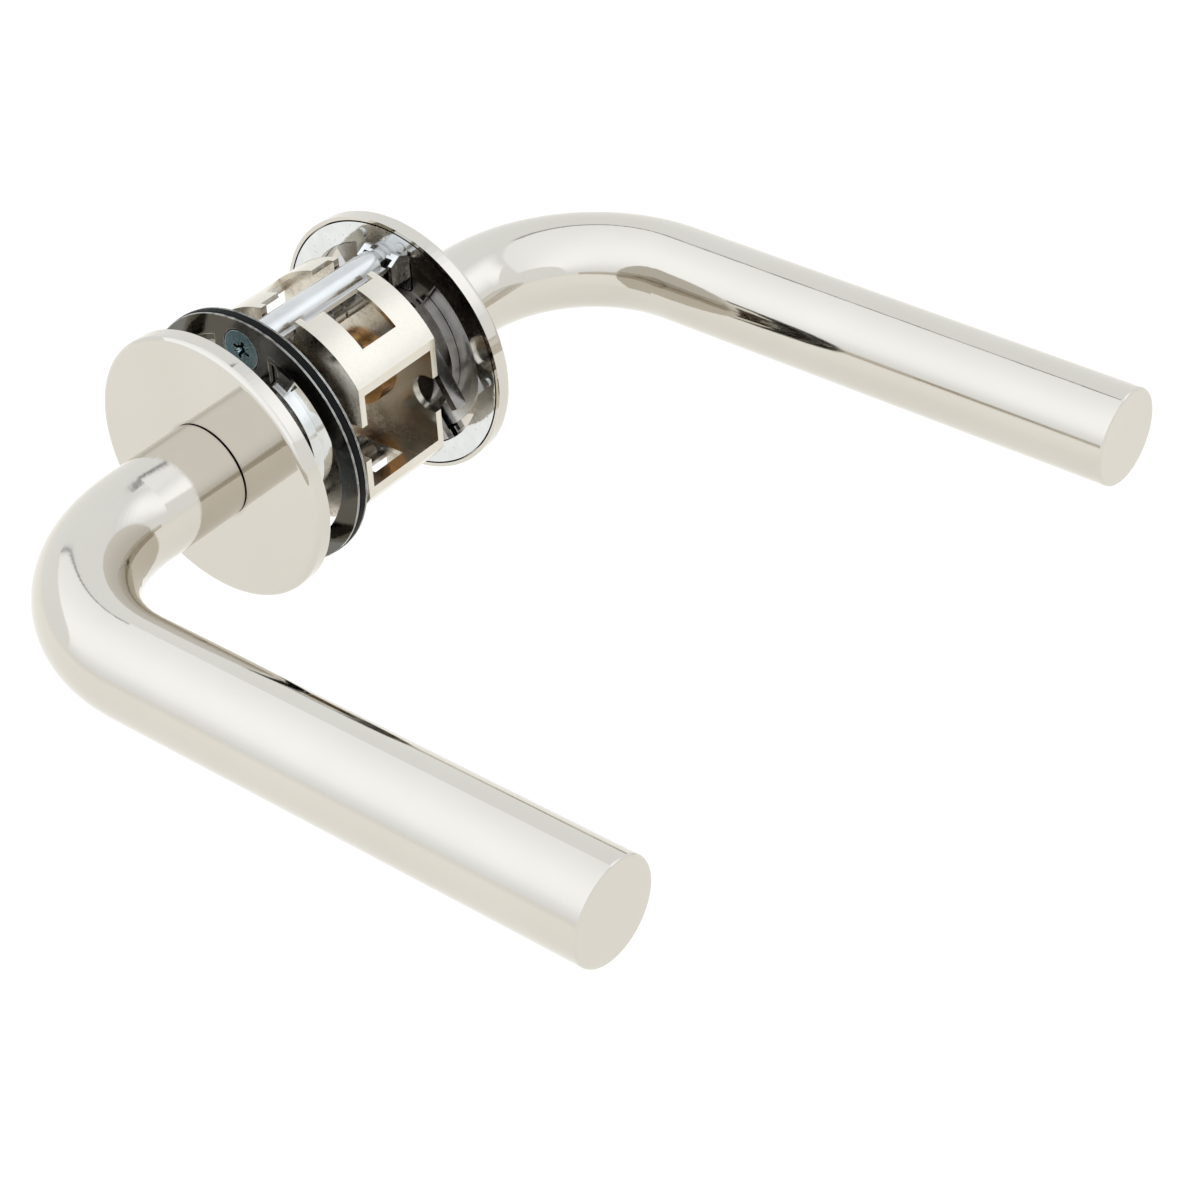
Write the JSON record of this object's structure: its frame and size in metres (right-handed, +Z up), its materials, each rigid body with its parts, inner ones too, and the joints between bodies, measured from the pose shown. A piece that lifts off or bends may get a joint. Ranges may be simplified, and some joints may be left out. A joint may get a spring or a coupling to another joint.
{
  "type": "door lever handle",
  "caption": "Pair of round-bar return levers on round roses, joined by a square spindle, sprung centres and bolt-through posts around a cage that fits the door bore.",
  "frame": {"origin": "on the spindle axis, at the middle of the door's thickness", "axes": "+X along the levers away from the spindle, +Y through the door from the pulled-out front side to the back side, +Z up"},
  "size_m": [0.1915, 0.2057, 0.065],
  "materials": {
    "lever_nickel": "polished nickel plate, mirror",
    "rose_nickel": "polished nickel plate, mirror",
    "zinc_sheet": "zinc plated sheet",
    "nylon": "moulded black nylon, satin",
    "spring_steel": "oiled spring steel",
    "black_steel": "blackened steel",
    "dark_chrome": "dark polished plate",
    "cast_zinc": "cast zinc, bright plated",
    "rubber": "black rubber, satin",
    "bright_zinc": "bright plated casting",
    "dark_zinc": "dark plated casting",
    "steel": "turned steel",
    "post_zinc": "bright zinc plated, turned",
    "screw_zinc": "blue zinc plated",
    "cage_nickel": "nickel plated pressed steel",
    "brass": "plain turned brass",
    "spindle_steel": "drawn square bar, oiled"
  },
  "bodies": {
    "door_set": {"back_rose_cover": "rose_nickel", "back_rose_backing": "zinc_sheet", "back_neck_bearing": "nylon", "front_mounting_plate": "dark_chrome", "back_mounting_plate": "cast_zinc", "front_grip_ring": "rubber", "back_grip_ring": "rubber", "front_spring_housing": "bright_zinc", "back_spring_housing": "dark_zinc", "front_housing_ring": "spring_steel", "back_housing_ring": "spring_steel", "front_return_spring": "spring_steel", "back_return_spring": "spring_steel", "fixing_posts": "post_zinc", "fixing_screws": "screw_zinc", "cage_near_half": "cage_nickel", "cage_far_half": "cage_nickel", "cage_studs": "steel", "spindle_bushes": "brass"},
    "turning_core": {"spindle": "spindle_steel", "front_rotor": "steel", "back_rotor": "steel", "back_lever": "lever_nickel", "back_grub_screw": "black_steel", "back_circlip": "spring_steel"},
    "front_rose_unit": {"front_rose_cover": "rose_nickel", "front_rose_backing": "zinc_sheet", "front_neck_bearing": "nylon"},
    "front_lever_unit": {"front_lever": "lever_nickel", "front_grub_screw": "black_steel", "front_circlip": "spring_steel"}
  },
  "joints": [
    {"name": "back_lever_turn", "type": "hinge", "parent": "door_set", "child": "turning_core", "pos_m": [0, 0, 0], "axis": [0, 1, 0], "range_deg": [0, 45], "stiffness_Nm_per_rad": 0.8, "springref_deg": -68.75},
    {"name": "front_rose_slide", "type": "slide", "parent": "door_set", "child": "front_rose_unit", "axis": [0, 1, 0], "range_m": [-0.008, 0.0135]},
    {"name": "front_lever_turn", "type": "hinge", "parent": "front_rose_unit", "child": "front_lever_unit", "pos_m": [0, 0, 0], "axis": [0, 1, 0], "range_deg": [0, 45], "stiffness_Nm_per_rad": 0.8, "springref_deg": -68.75}
  ],
  "couplings": [
    {"joint": "front_lever_turn", "follows": "back_lever_turn", "ratio": 1}
  ]
}
